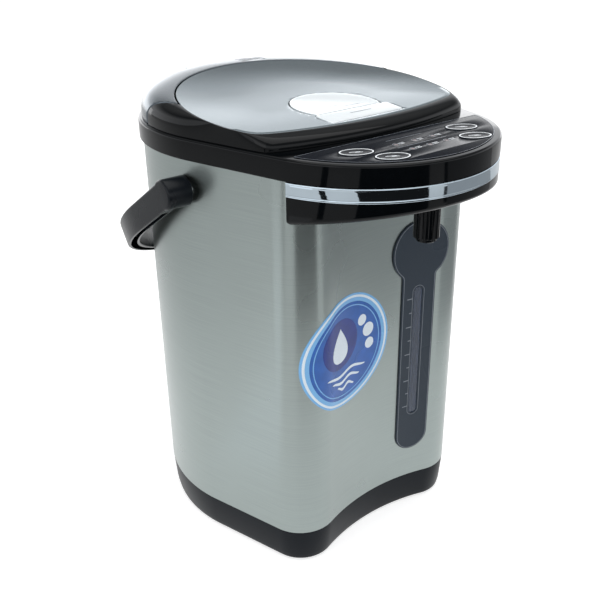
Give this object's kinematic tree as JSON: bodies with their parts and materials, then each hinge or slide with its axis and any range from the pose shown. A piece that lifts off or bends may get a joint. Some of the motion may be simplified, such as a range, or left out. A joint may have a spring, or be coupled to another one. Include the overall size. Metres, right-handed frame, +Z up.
{
  "type": "electric thermo pot",
  "caption": "Tall electric water boiler and warmer with a hinged lid, a button panel over its spout, a water gauge, a bail handle and a turntable foot.",
  "frame": {"origin": "on the table, on the turntable's axis, which is the axis of the round rear of the body", "axes": "+Z up; +X to the right of someone facing the buttons and the spout from the front; -Y is where the spout points"},
  "size_m": [0.268, 0.3167, 0.3643],
  "materials": {
    "black_gloss": "gloss",
    "black_satin": "satin",
    "white_plastic": "satin",
    "brushed_steel": "brushed",
    "sheet_steel": "satin",
    "chrome": "polished",
    "leaf_grey": "matt",
    "panel_grey": "fine glitter",
    "gauge_grey": "gloss",
    "clear": "clear",
    "silicone": "matt",
    "black_rubber": "matt",
    "label_blue": "printed film",
    "circuit_green": "satin",
    "lamp_red": "clear resin",
    "mica_band": "matt",
    "cast_aluminium": "cast",
    "brass_pins": "polished"
  },
  "bodies": {
    "stand": {"swivel_disc": "black_satin", "rubber_pads": "black_rubber", "swivel_glides": "white_plastic", "swivel_pin": "sheet_steel", "swivel_nut": "sheet_steel"},
    "pot": {"bottom_cover": "black_satin", "base_ring": "black_satin", "base_screws": "sheet_steel", "body_shell": "brushed_steel", "inner_pot": "sheet_steel", "rim_seal": "silicone", "heat_shield": "sheet_steel", "band_heater": "mica_band", "heating_plate": "cast_aluminium", "thermostats": "white_plastic", "pump_housing": "black_satin", "pump_motor": "sheet_steel", "suction_sleeve": "silicone", "delivery_hose": "silicone", "gauge_tube": "clear", "upper_sleeve": "silicone", "spout_pipe": "silicone", "nozzle": "black_satin", "gauge_panel": "gauge_grey", "gauge_window": "clear", "front_label": "label_blue", "collar": "black_gloss", "chrome_strip": "chrome", "chin": "black_gloss", "control_panel": "panel_grey", "circuit_board": "circuit_green", "indicator_lights": "lamp_red", "power_board": "circuit_green", "inlet_socket": "black_satin", "inlet_pins": "brass_pins", "handle_brackets": "sheet_steel", "handle_pins": "sheet_steel", "rear_shoulder": "black_gloss", "vent_grille": "black_gloss", "hinge_pin": "sheet_steel"},
    "lid": {"lid_cover": "black_gloss", "lid_top_plate": "leaf_grey", "finger_well": "chrome", "lid_liner": "black_satin", "inner_lid": "sheet_steel", "lid_gasket": "silicone", "steam_valve": "silicone", "latch_pin": "sheet_steel", "latch_spring": "sheet_steel"},
    "latch": {"latch_lever": "chrome", "latch_hook": "black_satin"},
    "handle": {"handle": "black_satin"},
    "impeller": {"impeller": "white_plastic"},
    "key_1": {"button_1": "panel_grey"},
    "key_2": {"button_2": "panel_grey"},
    "key_3": {"button_3": "panel_grey"},
    "key_4": {"button_4": "panel_grey"}
  },
  "joints": [
    {"name": "turntable", "type": "hinge", "parent": "stand", "child": "pot", "pos_m": [0, 0, 0.008], "axis": [0, 0, 1], "continuous": true},
    {"name": "lid_hinge", "type": "hinge", "parent": "pot", "child": "lid", "pos_m": [0, 0.082, 0.35525], "axis": [-1, 0, 0], "range_deg": [0, 98]},
    {"name": "latch_pivot", "type": "hinge", "parent": "lid", "child": "latch", "pos_m": [0, -0.087, 0.34518], "axis": [1, 0, 0], "range_deg": [0, 20], "stiffness_Nm_per_rad": 0.08, "springref_deg": -14.32},
    {"name": "handle_pivot", "type": "hinge", "parent": "pot", "child": "handle", "pos_m": [0, -0.025, 0.302], "axis": [1, 0, 0], "range_deg": [0, 125]},
    {"name": "impeller_spin", "type": "hinge", "parent": "pot", "child": "impeller", "pos_m": [-0.01, -0.035, 0.047], "axis": [0, 0, 1], "continuous": true},
    {"name": "key_1_press", "type": "slide", "parent": "pot", "child": "key_1", "axis": [0, 0, -1], "range_m": [0, 0.0008], "stiffness_N_per_m": 2000},
    {"name": "key_2_press", "type": "slide", "parent": "pot", "child": "key_2", "axis": [0, 0, -1], "range_m": [0, 0.0008], "stiffness_N_per_m": 2000},
    {"name": "key_3_press", "type": "slide", "parent": "pot", "child": "key_3", "axis": [0, 0, -1], "range_m": [0, 0.0008], "stiffness_N_per_m": 2000},
    {"name": "key_4_press", "type": "slide", "parent": "pot", "child": "key_4", "axis": [0, 0, -1], "range_m": [0, 0.0008], "stiffness_N_per_m": 2000}
  ]
}
